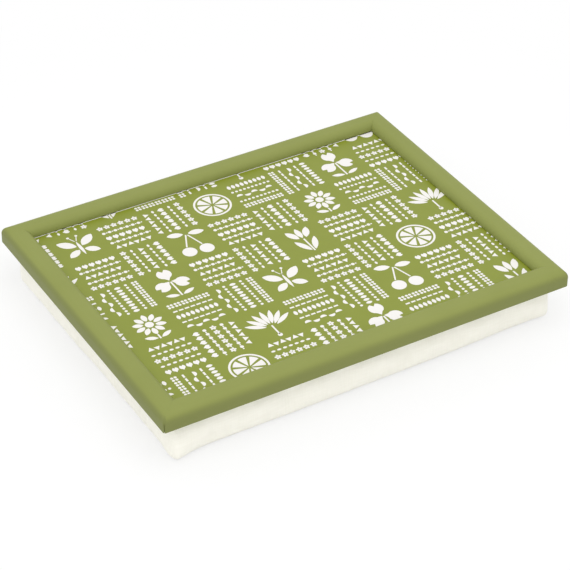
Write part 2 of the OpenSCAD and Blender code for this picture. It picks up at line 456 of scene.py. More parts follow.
# %% [markdown]
# The frame's corners are sanded round once it is glued. A bevel can't follow
# the shoulder round a corner, so each point beside a mitre is moved onto the
# ball that would just roll along inside the corner. A glued mitre opens by a
# hair at the foot of its tip, so the last points there are drawn back by that
# hair, less and less up to the shoulder, which shows as a fine dark line.

# %% Sanded tips
MITRE_GAPE = 0.38 * MM
GAPE_CLOSES = 0.4
ON_MITRE = 0.05 * MM
GAPE_PAST = 1 * MM


def sand_tips(piece, length, depth):
    """Moves the points beside the mitres onto a ball that rolls along inside the corner."""
    low = RAIL_TOP - SHOULDER_R
    reach = SHOULDER_R - CORNER_R
    turns = [math.radians(quarter / 4) for quarter in range(4 * 90 + 1)]
    over_shoulder = [(SHOULDER_R - reach * math.cos(a), low + reach * math.sin(a)) for a in turns]
    for vertex in piece.data.vertices:
        side = 1 if vertex.co.x > 0 else -1
        u, v, z = vertex.co.y + depth / 2, length / 2 - side * vertex.co.x, vertex.co.z
        if u > SHOULDER_R or (z < low and u > NEAR):
            continue
        tilt = math.asin(min(1, max(0, z - low) / SHOULDER_R))
        if v >= u + CORNER_R * math.cos(tilt):
            continue
        track = [(CORNER_R, z)] if z < low else over_shoulder
        w, h = min(track, key=lambda q: (u - q[0]) ** 2 + (v - q[0]) ** 2 + (z - q[1]) ** 2)
        away = Vector((u - w, v - w, z - h))
        u, v, z = Vector((w, w, h)) + CORNER_R * away.normalized()
        if v - u < ON_MITRE and z < low + GAPE_PAST:
            v += MITRE_GAPE * (1 - GAPE_CLOSES * (z - FRAME_Z) / (low - FRAME_Z))
        vertex.co = (side * (length / 2 - v), u - depth / 2, z)


# %% [markdown]
# Paint rounds every sharp edge by its own thickness, and the last bevel does
# the same. Each rail is modelled at the front and then turned to its side.

# %% Four painted rails
PAINT_EDGE = 0.12 * MM


def soften(piece, width, degrees=30):
    """Bevels the sharp edges of a piece."""
    only(piece)
    bpy.ops.object.mode_set(mode="EDIT")
    bpy.ops.mesh.select_mode(type="EDGE")
    bpy.ops.mesh.select_all(action="DESELECT")
    bpy.ops.mesh.edges_select_sharp(sharpness=math.radians(degrees))
    bpy.ops.mesh.bevel(offset=width, segments=2, clamp_overlap=True)
    object_mode()


for node, turn in (("rail_front", 0), ("rail_right", 90), ("rail_back", 180), ("rail_left", 270)):
    length, depth = (TRAY_L, TRAY_W) if turn % 180 == 0 else (TRAY_W, TRAY_L)
    piece = rail_blank("painted_" + node, length, depth)
    mitre_ends(piece, length, depth)
    sand_tips(piece, length, depth)
    soften(piece, PAINT_EDGE)
    piece.rotation_euler.z = math.radians(turn)
    only(piece)
    bpy.ops.object.transform_apply()
    smooth(piece)
    dress(piece, enamel, "tray", "painted_rail", node)

# %% [markdown]
# The board's top is a decorative laminate: paper printed green, under a clear
# melamine skin that is pressed against a satin plate. The skin gives a soft
# even gloss with a fine grain of about half a millimetre. A bump is enough for
# it, because nothing of it shows at the edge.

# %% Printed laminate
SKIN_GRAIN = 0.6 * MM
SKIN_DEPTH = 0.04 * MM
MOTTLES_PER_M = 60


def melamine(name, low_tint, high_tint):
    material, tree, shader = new_material(name)
    place = add(tree, "TexCoord").outputs["Object"]
    mottle = add(tree, "TexNoise", Vector=place, Scale=MOTTLES_PER_M, Detail=4.0)
    colour = add(tree, "Mix", COLOURS, Factor=mottle.outputs["Fac"])
    feed(tree, colour, A=linear(low_tint), B=linear(high_tint))
    grain = add(tree, "TexNoise", Vector=place, Scale=1 / SKIN_GRAIN, Detail=2.0)
    bump = add(tree, "Bump", Height=grain.outputs["Fac"], Strength=0.12, Distance=SKIN_DEPTH)
    feed(tree, shader, Base_Color=colour.outputs["Result"], Normal=bump.outputs["Normal"])
    feed(tree, shader, Roughness=0.38)
    return material


def finish_node(node, material):
    """Puts a material on a CAD node that stays as it is."""
    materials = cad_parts[node].data.materials
    materials.clear()
    materials.append(material)
    print("finished", node)


finish_node(
    "printed_laminate", melamine("melamine laminate, green print", "#7a841e", "#808a25")
)

# %% [markdown]
# The print is white ink on the green paper. It could be worked out in the
# material, but a shape keeps a crisp edge from any distance, so it is modelled
# as flat outlines, like stencils. A few shapes make nearly all of it: a disc, a
# bar, a leaf, a heart and a half disc. Their sizes are in millimetres.

# %% Discs and bars
def flat_disc(radius, corners=14):
    bpy.ops.object.select_all(action="DESELECT")
    bpy.ops.mesh.primitive_circle_add(vertices=corners, radius=radius * MM, fill_type="NGON")
    return bpy.context.active_object


def flat_bar(width, length):
    """A bar that stands on the origin."""
    bpy.ops.object.select_all(action="DESELECT")
    bpy.ops.mesh.primitive_plane_add(size=1)
    piece = bpy.context.active_object
    bpy.ops.object.mode_set(mode="EDIT")
    bpy.ops.transform.resize(value=(width * MM, length * MM, 1))
    bpy.ops.transform.translate(value=(0, length / 2 * MM, 0))
    object_mode()
    return piece


# %% [markdown]
# A leaf is the part that two discs share, so it is cut from one disc and
# mirrored. Its curve has the same number of steps, whatever its size.

# %% Leaves
LEAF_STEPS = 6


def clear_beyond(piece, point, normal):
    """Cuts a flat shape by a line and leaves out what lies beyond it."""
    select(piece)
    bpy.ops.mesh.bisect(plane_co=point, plane_no=normal, clear_outer=True, threshold=NEAR / 10)
    bpy.ops.mesh.select_all(action="SELECT")
    bpy.ops.mesh.delete_loose()
    object_mode()


def flat_leaf(length, width):
    """A pointed leaf that stands on the origin: the cap of a disc and its mirror image."""
    rise = width / 2
    radius = (length**2 / 4 + rise**2) / (2 * rise)
    spread = math.asin(length / 2 / radius)
    piece = flat_disc(radius, 2 * round(LEAF_STEPS * math.pi / spread / 2))
    bpy.ops.object.mode_set(mode="EDIT")
    bpy.ops.transform.translate(value=((rise - radius) * MM, length / 2 * MM, 0))
    clear_beyond(piece, (0, 0, 0), (-1, 0, 0))
    apply_modifier(piece, "MIRROR", merge_threshold=NEAR)
    select(piece)
    bpy.ops.mesh.normals_make_consistent(inside=False)
    bpy.ops.mesh.dissolve_faces()
    object_mode()
    return piece


# %% [markdown]
# A heart is a disc whose lowest corner is drawn down and whose highest corner is
# pushed in, both by a share of its radius. A half disc is simply cut.

# %% Hearts and halves
HEART_NOTCH = 0.55
HEART_POINT = 0.45


def flat_heart(radius):
    piece = flat_disc(radius, 16)
    for vertex in piece.data.vertices:
        if abs(vertex.co.x) < NEAR:
            share = HEART_NOTCH if vertex.co.y > 0 else HEART_POINT
            vertex.co.y -= share * radius * MM
    return piece


def flat_half(radius):
    piece = flat_disc(radius, 16)
    clear_beyond(piece, (0, 0, 0), (0, -1, 0))
    return piece


# %% [markdown]
# A motif is put together from shapes, each at its place and turn. Some stand in
# a mirrored pair, and some in a ring, each turned away from the middle.

# %% Place and join shapes
def put(piece, x=0, y=0, turn=0):
    """Places a shape, in millimetres and in degrees clockwise from straight up."""
    piece.location = (x * MM, y * MM, 0)
    piece.rotation_euler = (0, 0, -math.radians(turn))
    return piece


def both(make, x, y, turn):
    """A shape and its mirror image."""
    return [put(make(), x, y, turn), put(make(), -x, y, -turn)]


def ring_of(make, turns, reach, y=0):
    """Copies of a shape round a middle, each moved out from it and turned away."""
    shapes = []
    for turn in turns:
        out = Vector((math.sin(math.radians(turn)), math.cos(math.radians(turn))))
        shapes.append(put(make(), reach * out.x, y + reach * out.y, turn))
    return shapes


def together(name, pieces):
    """Joins shapes into one, with their places in its mesh."""
    bpy.ops.object.select_all(action="DESELECT")
    for piece in pieces:
        piece.select_set(True)
    bpy.context.view_layer.objects.active = pieces[0]
    bpy.ops.object.transform_apply()
    if len(pieces) > 1:
        bpy.ops.object.join()
    pieces[0].name = name
    return pieces[0]


def copy_of(piece):
    twin = piece.copy()
    twin.data = piece.data.copy()
    bpy.context.scene.collection.objects.link(twin)
    return twin


# %% [markdown]
# Three more shapes serve only a few motifs. A ring is a disc whose middle is
# inset and taken out, a slice is cut from a disc, and a stem is a bar that
# stands at the foot of a motif.

# %% Rings, slices and stems
STEM_W = 1.7
STEM_FOOT = -20


def flat_ring(outer, inner):
    piece = flat_disc(outer, 36)
    bpy.ops.object.mode_set(mode="EDIT")
    bpy.ops.mesh.select_all(action="SELECT")
    bpy.ops.mesh.inset(thickness=(outer - inner) * MM)
    bpy.ops.mesh.delete(type="ONLY_FACE")
    object_mode()
    return piece


def flat_wedge(radius, half_angle):
    """A slice of a disc, cut as from a cake, that points down at the origin."""
    piece = flat_disc(radius, 48)
    turn = math.radians(half_angle)
    for side in (-1, 1):
        clear_beyond(piece, (0, 0, 0), (side * math.cos(turn), -math.sin(turn), 0))
    return piece


def stem(length):
    return put(flat_bar(STEM_W, length), 0, STEM_FOOT)


# %% [markdown]
# The large motifs are about 40 mm high. They could be drawn point by point, but
# put together from the same few shapes they look like one set. As in a stencil,
# the parts stay a little apart, so every part is an island with a clear edge.

# %% Motifs on a stem
def tulip():
    return (
        [stem(22), put(flat_leaf(17, 6.2), 0, 3.6)]
        + both(lambda: flat_leaf(17.5, 7.4), 3.9, 3.4, 27)
        + both(lambda: flat_leaf(22, 6.4), 2.0, -18.5, 25)
    )


def daisy():
    petals = ring_of(lambda: flat_leaf(10.8, 5.6), range(0, 360, 36), 5.6, 3.6)
    middle = [put(flat_disc(4.3, 20), 0, 3.6), stem(6.6)]
    return middle + petals + both(lambda: flat_leaf(13, 5), 1.9, -18.6, 66)


def clover():
    hearts = ring_of(lambda: flat_heart(7.6), (-120, 0, 120), 12.2, 5.5)
    return hearts + [stem(24)] + both(lambda: flat_leaf(14, 5), 1.9, -19, 72)


def fan():
    blades = ring_of(lambda: flat_leaf(21, 5.2), range(-60, 61, 20), 6.5, -9)
    return blades + [stem(15), put(flat_disc(2.4), 0, -21)]


# %% [markdown]
# The other three have no stem. All seven are made once here, and the layout
# copies them.

# %% Motifs without a stem
def citrus():
    wedges = ring_of(lambda: flat_wedge(13.6, 19), range(0, 360, 45), 1.9)
    return wedges + [flat_ring(19.5, 17.4)]


def butterfly():
    return (
        [put(flat_leaf(24, 3.4), 0, -13)]
        + both(lambda: flat_leaf(21, 10), 2.9, 2.4, 50)
        + both(lambda: flat_leaf(16, 8.4), 2.7, -3.4, 122)
        + both(lambda: flat_bar(0.9, 7), 0.9, 11.6, 24)
        + both(lambda: flat_disc(1.5, 10), 4.5, 19.8, 0)
    )


def cherries():
    return [
        put(flat_disc(7.4, 22), -9.5, -11),
        put(flat_disc(7.4, 22), 8.5, -13),
        put(flat_bar(1.5, 21), -8.3, -2.6, 25),
        put(flat_bar(1.5, 21), 7.6, -4.6, -15),
        put(flat_leaf(17, 8), 3.6, 17.6, 98),
        put(flat_leaf(17, 8), -1.0, 18.4, -76),
    ]


MAKERS = (tulip, citrus, daisy, fan, clover, butterfly, cherries)
MOTIFS = [together(make.__name__, make()) for make in MAKERS]
print("motifs", [(m.name, len(m.data.polygons)) for m in MOTIFS])

# %% [markdown]
# The small marks are 2 to 7 mm high, and each kind fills a row of its own. The
# step along a row is set so that about a third of it is white. An array would
# line them up too, but single copies can be turned one by one.

# %% Rows of small marks
ROW_L = 46.0


def line_up(name, shapes, step, flip=False):
    """Copies a mark along a row, every other one upside down where flip is set."""
    mark = together("mark", shapes)
    count = int(ROW_L // step)
    copies = []
    for index in range(count):
        x = (index - (count - 1) / 2) * step
        copies.append(put(copy_of(mark), x, 0, 180 if flip and index % 2 else 0))
    bpy.data.objects.remove(mark)
    return together(name, copies)


def four_dots():
    return [put(flat_disc(1.5, 10), 1.75 * x, 1.75 * y) for x in (-1, 1) for y in (-1, 1)]


def blossom():
    return ring_of(lambda: flat_leaf(3.1, 2.3), range(0, 360, 72), 0.35)


ROWS = {
    "tall": [
        line_up("blossoms", blossom(), 7.6),
        line_up("lozenges", [put(flat_leaf(6.8, 3.9), 0, -3.4)], 5.0),
        line_up("pennants", [flat_disc(3.6, 3)], 6.6, flip=True),
        line_up("dot_squares", four_dots(), 7.6),
        line_up("hearts", [flat_heart(3.0)], 7.2),
        line_up("halves", [flat_half(3.5)], 8.4, flip=True),
    ],
    "low": [
        line_up("beads", [flat_disc(1.9, 12), put(flat_disc(0.9, 8), 3.2)], 6.4),
        line_up("dashes", [put(flat_bar(2.0, 4.6), -2.3, 0, 90)], 6.2),
        line_up("drops", [put(flat_leaf(4.6, 2.7), -2.3, 0, 90)], 6.2),
        line_up("dots", [flat_disc(1.55, 10)], 4.6),
    ],
}
for kind, rows in ROWS.items():
    print(kind, "rows", [(row.name, len(row.data.polygons)) for row in rows])

# %% [markdown]
# The print is a sampler: one square in three holds a large motif and the others
# hold small marks in rows, every other one of them turned. It is laid out from
# the middle of the board, but off centre, as a board that is sawn from a large
# printed sheet shows it.

# %% Lay out the print
SQUARE = 49.0
SHEET_SHIFT = (9.0, -13.0)
COLUMNS, LINES = range(-5, 5), range(-4, 4)
ROW_KINDS = ("tall", "low", "tall", "low", "tall")
ROW_PITCH = 9.1


def square_of_rows(index):
    """Five rows from the top down, of kinds that change from square to square."""
    rows = []
    for place, kind in enumerate(ROW_KINDS):
        choices = ROWS[kind]
        row = copy_of(choices[(index + index // 5 + 2 * place) % len(choices)])
        rows.append(put(row, 0, (2 - place) * ROW_PITCH))
    return together("square_of_rows", rows)


def lay_out():
    motifs, rows = [], []
    for column in COLUMNS:
        for line in LINES:
            x = (column + 0.5) * SQUARE + SHEET_SHIFT[0]
            y = (line + 0.5) * SQUARE + SHEET_SHIFT[1]
            kind = (column + 2 * line) % 3
            if kind == 0:
                motifs.append(put(copy_of(MOTIFS[3 * len(motifs) % len(MOTIFS)]), x, y))
            else:
                rows.append(put(square_of_rows(len(rows)), x, y, 90 if kind == 2 else 0))
    return together("ink_motifs", motifs), together("ink_rows", rows)


ink_motifs, ink_rows = lay_out()
for spare in MOTIFS + ROWS["tall"] + ROWS["low"]:
    bpy.data.objects.remove(spare)
print("squares", len(COLUMNS), "by", len(LINES))

# %% [markdown]
# The sheet runs out under the rails, so the whole print is cut at the well's
# four walls. Ink has no height under the skin: each shape gets a tenth of a
# millimetre, so that it is a closed piece, and half of that is sunk in the
# laminate. The white has the same skin as the green.

# %% Trim the print
WELL_X = TRAY_L / 2 - RAIL_W
WELL_Y = TRAY_W / 2 - RAIL_W
INK_T = 0.1 * MM


def trim_and_thicken(piece):
    """Cuts the print at the walls of the well and makes it a closed film."""
    for x, y in ((1, 0), (-1, 0), (0, 1), (0, -1)):
        clear_beyond(piece, (x * WELL_X, y * WELL_Y, 0), (x, y, 0))
    apply_modifier(piece, "SOLIDIFY", thickness=INK_T, offset=0)
    select(piece)
    bpy.ops.transform.translate(value=(0, 0, WELL_Z))
    bpy.ops.mesh.normals_make_consistent(inside=False)
    object_mode()


white_print = melamine("melamine laminate, white print", "#e3e0dd", "#e8e5e2")
for piece in (ink_motifs, ink_rows):
    trim_and_thicken(piece)
    dress(piece, white_print, "tray", "printed_laminate")

# %% [markdown]
# The printed sheet has a narrow white edge, and along the back wall of the well
# a sliver of it shows. It could be a stripe in the green's material, but as a
# strip as thin as the ink it is one more shape of the print.

# %% White edge of the sheet
EDGE_SHOWS = 0.8 * MM

sheet_edge = block(
    "ink_sheet_edge",
    (-WELL_X, WELL_Y - EDGE_SHOWS, WELL_Z - INK_T / 2),
    (WELL_X, WELL_Y, WELL_Z + INK_T / 2),
)
dress(sheet_edge, white_print, "tray", "printed_laminate")

# %% [markdown]
# The cushion is a bag of cotton canvas, filled with polystyrene beads and flat
# where it meets the tray and the floor. A subdivided block alone would look
# like foam, so it is modelled as one closed cover that is blown up as cloth.
# The cover starts as a block a little smaller than the cushion, with rounded
# edges, and is remeshed evenly, because cloth needs faces of one size.

# %% Cover blank
HALF_L, HALF_W, COVER_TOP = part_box("cushion_top_panel")[1]
COVER_START_IN = 0.7 * MM
COVER_CORNER_R = 3.5 * MM
COVER_LOWER_R = 3.0 * MM
COVER_UPPER_R = 1.2 * MM
COVER_VOXEL = 4.0 * MM


def bevel_edges(piece, radius, segments, test):
    """Rounds the edges of a piece that pass a test."""
    select(piece, "EDGE", test)
    bpy.ops.mesh.bevel(offset=radius, segments=segments)
    object_mode()


def upright(edge):
    return abs(edge.verts[0].co.z - edge.verts[1].co.z) > 10 * NEAR


def level_at(edge, z):
    return all(abs(v.co.z - z) < 2 * NEAR for v in edge.verts)


def cover_blank():
    x, y = HALF_L - COVER_START_IN, HALF_W - COVER_START_IN
    piece = block("cushion_cover", (-x, -y, 0), (x, y, COVER_TOP))
    bevel_edges(piece, COVER_CORNER_R, 6, upright)
    bevel_edges(piece, COVER_LOWER_R, 4, lambda edge: level_at(edge, 0))
    bevel_edges(piece, COVER_UPPER_R, 2, lambda edge: level_at(edge, COVER_TOP))
    apply_modifier(piece, "REMESH", mode="VOXEL", voxel_size=COVER_VOXEL)
    return piece


cover = cover_blank()
print("cover blank", len(cover.data.vertices), "points")


# %% [markdown]
# Before it is blown up, the cover is drawn out, as a maker kneads a
# filled bag into shape. Its points are handled as rows of three numbers. One
# helper tells how deep inside the plan a point lies, and one grows from nothing
# to one between two values, so that every change fades out.

# %% Points as numbers
def points_of(piece):
    points = np.empty(3 * len(piece.data.vertices))
    piece.data.vertices.foreach_get("co", points)
    return points.reshape(-1, 3)


def set_points(piece, points):
    piece.data.vertices.foreach_set("co", points.ravel())
    piece.data.update()


def inset_of(points):
    """How far each point lies inside the cushion's plan, from its nearest side."""
    return np.minimum(HALF_L - np.abs(points[:, 0]), HALF_W - np.abs(points[:, 1]))


def rise(value, start, end):
    """Grows from 0 at start to 1 at end."""
    return np.clip((value - start) / (end - start), 0, 1)


# %% [markdown]
# Beads leave the cloth slack enough for soft upright folds. Two waves of
# lengths that never meet make them look like chance, and each side starts at
# another place in the waves, so that no two sides are alike. The sine takes
# radians, so each length here is a wave's length over 2 pi.

# %% Soft folds
FOLD_DEPTH = 0.3 * MM
FOLD_H_MM = 42
SHORT_WAVE_MM, LONG_WAVE_MM, DRIFT_MM = 9.7, 17.3, 31
END_START_MM, FRONT_START_MM = 700, 300


def folds(points):
    """How far the folds stand out along the sides, fading out at top and bottom."""
    x, y, z = points.T / MM
    on_end = np.abs(x) / HALF_L > np.abs(y) / HALF_W
    along = np.where(on_end, y + END_START_MM * np.sign(x), x + FRONT_START_MM * np.sign(y))
    short = np.sin(along / SHORT_WAVE_MM + 0.6 * np.sin(along / DRIFT_MM))
    waves = short + 0.8 * np.sin(along / LONG_WAVE_MM + 1.1)
    return FOLD_DEPTH * waves * np.sin(math.pi * np.clip(z / FOLD_H_MM, 0, 1)) ** 2.5


# %% [markdown]
# The sides have a low belly: they stand upright for most of the lower half and
# draw in towards the tray above it. The beads have settled unevenly, so two
# tables give how much further than the belly the front and the left side reach,
# from place to place along them.

# %% Belly
BELLY = 1.7 * MM
BELLY_Z = (17 * MM, 39 * MM)
FRONT_REACH = ((-208, 3.3), (-60, 3.2), (75, 2.2), (130, 0.6), (160, -1.0), (208, -2.0))
LEFT_REACH = ((-120, 0.2), (-10, 0.3), (30, 2.1))


def reach(at, table):
    """How much further than the belly a side reaches, from a table in millimetres."""
    return np.interp(at / MM, *zip(*table)) * MM


def belly(points):
    x, y, z = points.T
    on_front = (-y - HALF_W) > (np.abs(x) - HALF_L)
    on_left = (-x - HALF_L) > (np.abs(y) - HALF_W)
    left = np.where(on_left, reach(y, LEFT_REACH), 0)
    sag = BELLY + np.where(on_front, reach(x, FRONT_REACH), left)
    return sag * (1 - rise(z, *BELLY_Z) ** 1.5)


# %% [markdown]
# A sewn corner stays fuller and sharper than the middle of a side, because the
# seams hold it, so each has an ear, the front ones most. The front left corner
# has a lobe as well, and the back left one is drawn in. These could be sculpted,
# but numbers can be measured and changed one by one.

# %% Corners
EAR_SPREAD = 24 * MM
EAR_OUT, EAR_OUT_Z = 1.6 * MM, (34 * MM, 41 * MM)
EAR_LOW, EAR_LOW_Z = 1.8 * MM, (0, 26 * MM)
BACK_EARS, RIGHT_EAR = 0.25, 0.8
LOBE, LOBE_Z = 3.8 * MM, (14 * MM, 38 * MM)
LOBE_ALONG, LOBE_FULL, LOBE_ACROSS = 48 * MM, 8 * MM, 30 * MM
HOLLOW, HOLLOW_Z = 4.5 * MM, (24 * MM, 40 * MM)
HOLLOW_ALONG, HOLLOW_FULL, HOLLOW_ACROSS = 40 * MM, 4 * MM, 40 * MM


def ears(points):
    x, y, z = points.T
    corner = rise(np.abs(x), HALF_L - EAR_SPREAD, HALF_L)
    corner = corner * rise(np.abs(y), HALF_W - EAR_SPREAD, HALF_W)
    out = EAR_OUT * (1 - rise(z, *EAR_OUT_Z)) + EAR_LOW * (1 - rise(z, *EAR_LOW_Z))
    return corner**2 * out * np.where(y > 0, BACK_EARS, np.where(x > 0, RIGHT_EAR, 1.0))


def front_left_lobe(points):
    x, y, z = points.T
    lobe = rise(-x, HALF_L - LOBE_ALONG, HALF_L - LOBE_FULL) ** 2
    lobe = lobe * rise(-y, HALF_W - LOBE_ACROSS, HALF_W)
    return LOBE * lobe * (1 - rise(z, *LOBE_Z))


def back_left_hollow(points):
    x, y, z = points.T
    drawn_in = rise(-x, HALF_L - HOLLOW_ALONG, HALF_L - HOLLOW_FULL)
    drawn_in = drawn_in * rise(y, HALF_W - HOLLOW_ACROSS, HALF_W)
    return HOLLOW * drawn_in * (1 - rise(z, *HOLLOW_Z))


# %% [markdown]
# All these push the sides out level. Last, the lower edge at the front right,
# where the bag is least full, lifts a little off the floor.

# %% Draw the cover out
SIDE_DEPTH = 8 * MM
EDGE_LIFT, EDGE_LIFT_Z = 1.5 * MM, (0, 30 * MM)
LIFT_FROM_X, LIFT_FROM_Y = -60 * MM, 100 * MM
LIFT_DEPTH = (4 * MM, 26 * MM)


def draw_out(points):
    x, y, z = points.T
    out = (folds(points) + belly(points)) * (1 - rise(inset_of(points), 0, SIDE_DEPTH))
    ear = ears(points)
    on_end = (HALF_L - np.abs(x)) < (HALF_W - np.abs(y))
    drawn = points.copy()
    drawn[:, 0] += np.sign(x) * (np.where(on_end, out, 0) + ear)
    drawn[:, 1] += np.sign(y) * (np.where(on_end, 0, out) + ear)
    drawn[:, 1] -= front_left_lobe(points)
    drawn[:, 1] -= back_left_hollow(points)
    lifted = rise(x, LIFT_FROM_X, HALF_L) * rise(-y, LIFT_FROM_Y, HALF_W)
    lifted = lifted * (1 - rise(inset_of(drawn), *LIFT_DEPTH))
    drawn[:, 2] += EDGE_LIFT * lifted * (1 - rise(z, *EDGE_LIFT_Z))
    return drawn


set_points(cover, draw_out(points_of(cover)))
print("drawn out to", [round(x / MM, 1) for x in points_of(cover).max(axis=0)])

# %% [markdown]
# Then the cover is blown up a little as cloth. Its top lies against the tray
# and its underside on the floor, so both are held, and the cloth that turns up
# from the floor is held loosely.

# %% Hold the cover
HELD_TOP, HELD_FLOOR, HELD_IN = 1.5 * MM, 0.5 * MM, 14 * MM
LOOSE_BELOW, LOOSE_HOLD = 6 * MM, 0.85


def pin(piece, points):
    """Makes the group of points that the cloth holds, and tells which are held fast."""
    z = points[:, 2]
    held = (z > COVER_TOP - HELD_TOP) | ((z < HELD_FLOOR) & (inset_of(points) > HELD_IN))
    group = piece.vertex_groups.new(name="held")
    group.add(np.nonzero(held)[0].tolist(), 1.0, "REPLACE")
    group.add(np.nonzero((z < LOOSE_BELOW) & ~held)[0].tolist(), LOOSE_HOLD, "REPLACE")
    return held


# %% [markdown]
# Canvas is stiff when it is pulled and soft when it is bent. Gravity is off,
# because the pressure stands for the beads, and the cloth may grow by 0.8 per
# cent, as a filled bag does. It runs the same way each time, because nothing in
# it is left to chance.

# %% Cloth of the cover
COVER_FRAMES = 20
CANVAS_CLOTH = {
    "quality": 6,
    "mass": 0.3,
    "tension_stiffness": 18,
    "compression_stiffness": 18,
    "shear_stiffness": 8,
    "bending_stiffness": 2.5,
    "use_pressure": True,
    "uniform_pressure_force": 4.0,
    "shrink_min": -0.008,
}


def run_cloth(piece):
    """Steps the cloth through its frames and applies it."""
    cloth = piece.modifiers.new("cloth", "CLOTH")
    for name, value in CANVAS_CLOTH.items():
        setattr(cloth.settings, name, value)
    cloth.settings.vertex_group_mass = "held"
    cloth.settings.effector_weights.gravity = 0
    cloth.collision_settings.use_collision = False
    cloth.collision_settings.use_self_collision = False
    for number in range(1, COVER_FRAMES + 1):
        bpy.context.scene.frame_set(number)
    only(piece)
    bpy.ops.object.modifier_apply(modifier=cloth.name)
    bpy.context.scene.frame_set(1)


# %% [markdown]
# How far a point may move is capped, so that the cover keeps clear of the tray,
# and nothing goes over its top or below the floor.

# %% Blow up the cover
COVER_CAP = 3.0 * MM


def blow_up(piece):
    points = points_of(piece)
    held = pin(piece, points)
    run_cloth(piece)
    moved = points_of(piece) - points
    size = np.linalg.norm(moved, axis=1)
    most, middle = size.max() / MM, np.median(size[~held]) / MM
    print("blown up by", round(most, 2), "mm at most, median", round(middle, 2))
    moved *= np.minimum(1, COVER_CAP / np.maximum(size, NEAR))[:, None]
    points += moved
    points[:, 2] = np.clip(points[:, 2], 0, COVER_TOP)
    set_points(piece, points)
    piece.vertex_groups.clear()


blow_up(cover)

# %% [markdown]
# One subdivision rounds the folds. It may push a point over the top or below
# the floor by a hair, so both faces are pressed flat once more.

# %% Smooth the cover
apply_modifier(cover, "SUBSURF", levels=1, render_levels=1)
points = points_of(cover)
points[:, 2] = np.clip(points[:, 2], 0, COVER_TOP)
set_points(cover, points)
smooth(cover, 60)
for end in (points.min(axis=0), points.max(axis=0)):
    print("cover", [round(x / MM, 1) for x in end])

# %% [markdown]
# The weave follows the cloth, so the cover gets a UV map in metres: each face
# is laid flat along the axis that it faces most. Two numbers are kept on each
# point as well, the distances in millimetres from the seam at the top edge and
# from the seam under the lower edge, which the material uses to pucker the
# cloth beside the thread. They also grow past the cover's edge, so that a seam
# doesn't show on the face beside its own.

# %% Map of the cloth
SEAM_TOP_Z = COVER_TOP - 1.6 * MM
SEAM_LOW_IN = 6.5 * MM
TOP_SEAM_REACH_MM = 3
LOW_SEAM_REACH_MM, LOW_SEAM_FADE = 1.5, 9


def lay_flat(mesh, points):
    """Writes the UV map."""
    layer = mesh.uv_layers.new(name="cloth")
    for face in mesh.polygons:
        n = [abs(c) for c in face.normal]
        axes = (0, 1) if n[2] >= max(n[0], n[1]) else ((1, 2) if n[0] > n[1] else (0, 2))
        for loop in face.loop_indices:
            point = points[mesh.loops[loop].vertex_index]
            layer.data[loop].uv = (point[axes[0]], point[axes[1]])


def measure_seams(mesh, points):
    """Writes each point's distance from the two seams."""
    inset, z = inset_of(points), points[:, 2]
    inside = np.clip(inset / MM - TOP_SEAM_REACH_MM, 0, None)
    upper = mesh.attributes.new("from_top_seam", "FLOAT", "POINT")
    upper.data.foreach_set("value", (z - SEAM_TOP_Z) / MM - inside)
    above = np.clip(z / MM - LOW_SEAM_REACH_MM, 0, None) * LOW_SEAM_FADE
    lower = mesh.attributes.new("from_low_seam", "FLOAT", "POINT")
    lower.data.foreach_set("value", (inset - SEAM_LOW_IN) / MM + above)


lay_flat(cover.data, points)
measure_seams(cover.data, points)
print("mapped", len(cover.data.loops), "corners of faces")


# %% [markdown]
# The cloth is unbleached cotton canvas in plain weave, the threads of one way
# over and under those of the other. Its threads are half a millimetre apart,
# which is too fine for these renders, so the weave is drawn at twice that.
# Thicker places in the yarn, called slubs, make short pale streaks both ways.

# %% Weave and slubs
THREAD_STEP = 1.0 * MM
SLUB_L = 22 * MM
SLUB_W = 1.6 * MM


def weave_of(tree, uv):
    """The waves of both ways of threads, multiplied."""
    ways = add(tree, "SeparateXYZ", Vector=uv)
    waves = []
    for axis in ("X", "Y"):
        phase = add(tree, "Math", TIMES, i0=ways.outputs[axis], i1=math.pi / THREAD_STEP)
        waves.append(add(tree, "Math", {"operation": "SINE"}, i0=phase.outputs[0]).outputs[0])
    return add(tree, "Math", TIMES, i0=waves[0], i1=waves[1]).outputs[0]


def slubs_of(tree, uv):
    """Noise drawn out along each way of threads, added."""
    slubs = []
    for in_x, in_y in ((SLUB_L, SLUB_W), (SLUB_W, SLUB_L)):
        drawn = add(tree, "Mapping", Vector=uv, Scale=(1 / in_x, 1 / in_y, 1))
        noise = add(tree, "TexNoise", Vector=drawn.outputs[0], Scale=1.0, Detail=1.0)
        slubs.append(noise.outputs["Fac"])
    return add(tree, "Math", PLUS, i0=slubs[0], i1=slubs[1]).outputs[0]


# %% [markdown]
# A seam pulls the cloth into a narrow dip, and gathers it into small puckers
# that die out within a centimetre. Both are bumps: as geometry they would need
# faces of half a millimetre all round the cushion.

# %% Dips and puckers at the seams
SEAM_DIP_MM = 1.2
PUCKERS_MM = 9.0
GATHERS_PER_M = 130
SEAM_DEPTH = 0.9 * MM


